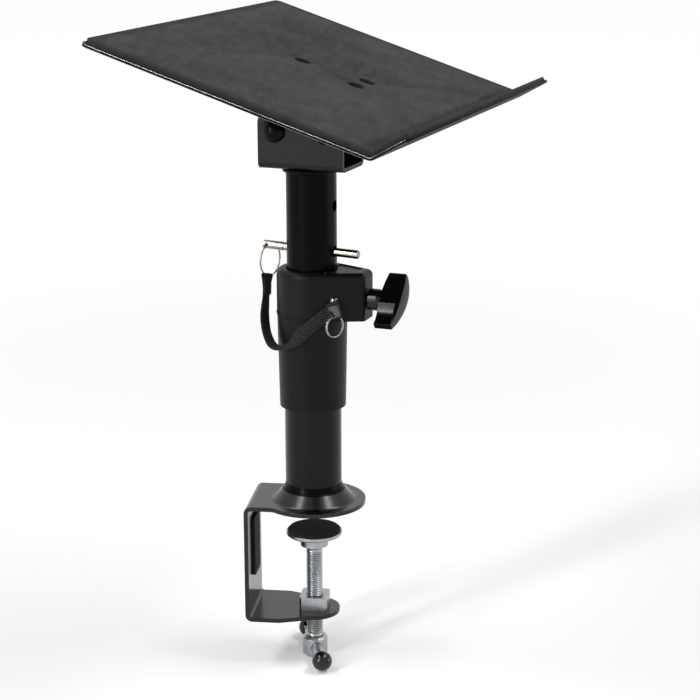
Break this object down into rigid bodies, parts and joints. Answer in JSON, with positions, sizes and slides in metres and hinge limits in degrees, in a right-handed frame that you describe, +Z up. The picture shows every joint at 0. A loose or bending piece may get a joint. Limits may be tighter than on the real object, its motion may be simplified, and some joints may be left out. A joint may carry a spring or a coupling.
{
  "type": "desk clamp stand",
  "caption": "Desk clamp stand: telescoping round column with a winged clamp knob, a safety pin on a lanyard and a tilting padded tray with a front lip.",
  "frame": {"origin": "on the column's axis, at the underside of the clamp's top plate, which is the desk's top surface", "axes": "+Z up along the column, +X away from the clamp's leg, towards the middle of the desk, +Y along the desk's edge"},
  "size_m": [0.2837, 0.3423, 0.4586],
  "materials": {
    "black_paint": "satin",
    "tray_coat": "fine textured",
    "moulded_black": "matte moulded",
    "eva_foam": "matte closed-cell foam",
    "grip_rubber": "matte",
    "zinc": "zinc plated",
    "nickel": "nickel plated",
    "ball_black": "gloss",
    "brass_shoe": "machined",
    "slip_nylon": "natural nylon",
    "webbing": "woven"
  },
  "bodies": {
    "root": {"clamp_frame": "black_paint", "leg_pad": "grip_rubber", "jaw_nut": "zinc", "lower_tube": "black_paint", "collar_housing": "moulded_black", "housing_nut": "zinc", "anchor_screw": "nickel", "anchor_ring": "nickel", "lanyard_strap": "webbing"},
    "clamp_foot": {"foot_plate": "zinc", "foot_pad": "grip_rubber"},
    "clamp_screw": {"clamp_screw": "zinc"},
    "tommy_bar": {"tommy_bar": "zinc", "bar_ball_near": "ball_black", "bar_ball_far": "ball_black"},
    "brake": {"brake_shoe": "brass_shoe"},
    "knob": {"knob_bolt": "zinc", "wing_knob": "moulded_black"},
    "mast_glide": {"mast_bush": "moulded_black"},
    "mast": {"upper_tube": "black_paint", "bracket_weld": "black_paint", "mast_bracket": "black_paint", "slip_discs": "slip_nylon", "pivot_bolt": "black_paint", "pivot_washers": "black_paint", "pivot_nut": "black_paint"},
    "pin": {"safety_pin": "nickel", "pin_ring": "nickel"},
    "tray": {"tray_hanger": "black_paint", "tray_sheet": "tray_coat", "tray_pad": "eva_foam", "tray_screws": "black_paint"}
  },
  "joints": [
    {"name": "screw_feed", "type": "slide", "parent": "root", "child": "clamp_foot", "axis": [0, 0, 1], "range_m": [-0.038, 0.015]},
    {"name": "screw_spin", "type": "hinge", "parent": "clamp_foot", "child": "clamp_screw", "pos_m": [0, 0, -0.076], "axis": [0, 0, 1], "range_deg": [-7818, 3086]},
    {"name": "bar_slide", "type": "slide", "parent": "clamp_screw", "child": "tommy_bar", "axis": [0.2957, -0.9553, 0], "range_m": [-0.015, 0.015]},
    {"name": "knob_feed", "type": "slide", "parent": "root", "child": "brake", "axis": [0.9736, -0.2284, 0], "range_m": [0, 0.0015]},
    {"name": "knob_turn", "type": "hinge", "parent": "brake", "child": "knob", "pos_m": [0, 0, 0.1523], "axis": [0.9736, -0.2284, 0], "range_deg": [0, 432]},
    {"name": "mast_height", "type": "slide", "parent": "root", "child": "mast_glide", "axis": [0, 0, 1], "range_m": [-0.0078, 0.045], "deforming": ["lanyard_strap"]},
    {"name": "mast_swivel", "type": "hinge", "parent": "mast_glide", "child": "mast", "pos_m": [0, 0, 0.1523], "axis": [0, 0, 1], "range_deg": [-90, 90], "deforming": ["lanyard_strap"]},
    {"name": "pin_pull", "type": "slide", "parent": "mast", "child": "pin", "axis": [-0.9676, 0.2502, 0.0332], "range_m": [-0.006, 0.055], "deforming": ["lanyard_strap"]},
    {"name": "tray_tilt", "type": "hinge", "parent": "mast", "child": "tray", "pos_m": [-0.0182, 0.00471, 0.2688], "axis": [0.2504, 0.9681, 0], "range_deg": [-17.6, 18]}
  ],
  "couplings": [
    {"joint": "screw_spin", "follows": "screw_feed", "rad_per_m": 3590.4},
    {"joint": "knob_turn", "follows": "knob_feed", "rad_per_m": 5026.5}
  ]
}
